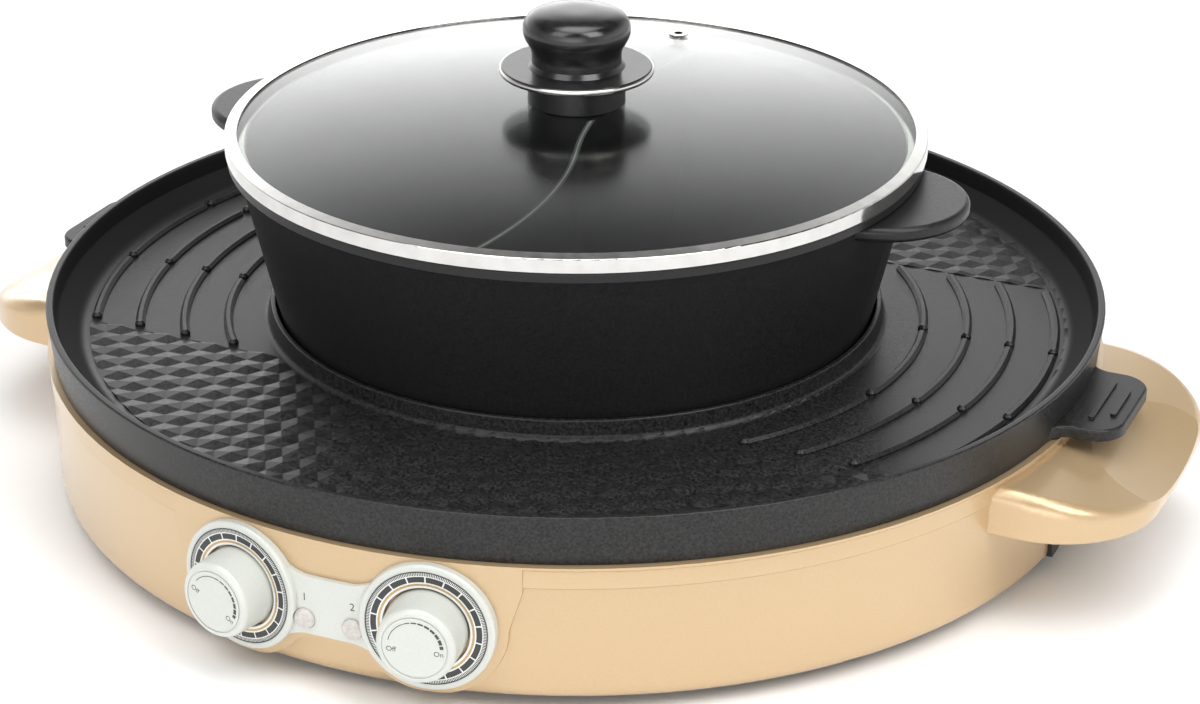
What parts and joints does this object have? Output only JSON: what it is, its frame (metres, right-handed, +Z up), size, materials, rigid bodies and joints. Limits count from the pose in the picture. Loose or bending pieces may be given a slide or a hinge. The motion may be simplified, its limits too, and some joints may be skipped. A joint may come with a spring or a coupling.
{
  "type": "electric hot pot grill",
  "caption": "Round countertop cooker with a ribbed grill pan round a divided hot pot under a lift-off glass lid, with rotary controls in front and wing handles.",
  "frame": {"origin": "on the axis of the round base, at the level of the table that the feet stand on", "axes": "+Z up, -Y towards the user (control panel), the wing handles along X"},
  "size_m": [0.5468, 0.4775, 0.2068],
  "materials": {
    "gold_shell": "pearl gold, satin gloss",
    "nonstick_cast": "satin charcoal non-stick coating",
    "pot_cast": "satin black non-stick coating",
    "polished_steel": "polished",
    "clear_glass": "clear",
    "black_gloss": "gloss",
    "silver_plastic": "pearl silver",
    "dial_print": "printed ring",
    "lamp_lens": "translucent pink",
    "black_plastic": "fine texture",
    "rubber": "matt",
    "sheet_steel": "aluminised sheet",
    "heater_sheath": "oxidised sheath",
    "cast_plate": "as cast",
    "switch_body": "moulded phenolic",
    "shaft_steel": "zinc plated",
    "brass": "plated",
    "ceramic_block": "glazed ceramic look",
    "wire_cover": "braided sleeve",
    "neon_glass": "clear"
  },
  "bodies": {
    "base": {"base_housing": "gold_shell", "bottom_cover": "black_plastic", "cover_screws": "shaft_steel", "rubber_feet": "rubber", "reflector_tray": "sheet_steel", "grill_heating_tube": "heater_sheath", "tube_brackets": "sheet_steel", "hot_plate": "cast_plate", "hot_plate_tube": "heater_sheath", "hot_plate_posts": "shaft_steel", "thermal_cutout": "shaft_steel", "hotpot_thermostat": "switch_body", "grill_thermostat": "switch_body", "thermostat_nuts": "brass", "control_trim": "silver_plastic", "hotpot_dial_ring": "dial_print", "grill_dial_ring": "dial_print", "hotpot_lamp_lens": "lamp_lens", "grill_lamp_lens": "lamp_lens", "neon_lamps": "neon_glass", "power_inlet": "black_plastic", "inlet_pins": "brass", "terminal_block": "ceramic_block", "wiring": "wire_cover"},
    "hotpot_dial": {"hotpot_knob": "silver_plastic", "hotpot_shaft": "shaft_steel"},
    "grill_dial": {"grill_knob": "silver_plastic", "grill_shaft": "shaft_steel"},
    "pan": {"grill_pan": "nonstick_cast"},
    "cooking_pot": {"pot": "pot_cast", "pot_divider": "pot_cast"},
    "lid": {"lid_glass": "clear_glass", "lid_band": "polished_steel", "lid_knob_base": "black_gloss", "lid_knob": "black_gloss", "lid_washer": "rubber", "lid_screw": "shaft_steel", "steam_vent": "polished_steel"}
  },
  "joints": [
    {"name": "hotpot_knob_turn", "type": "hinge", "parent": "base", "child": "hotpot_dial", "pos_m": [-0.04174, -0.23675, 0.0363], "axis": [0.1736, 0.9848, 0], "range_deg": [0, 240]},
    {"name": "grill_knob_turn", "type": "hinge", "parent": "base", "child": "grill_dial", "pos_m": [0.04174, -0.23675, 0.0363], "axis": [-0.1736, 0.9848, 0], "range_deg": [0, 240]},
    {"name": "pan_lift", "type": "slide", "parent": "base", "child": "pan", "axis": [0, 0, 1], "range_m": [0, 0.06]},
    {"name": "pot_lift", "type": "slide", "parent": "pan", "child": "cooking_pot", "axis": [0, 0, 1], "range_m": [0, 0.12]},
    {"name": "lid_lift", "type": "slide", "parent": "cooking_pot", "child": "lid", "axis": [0, 0, 1], "range_m": [0, 0.08]}
  ]
}
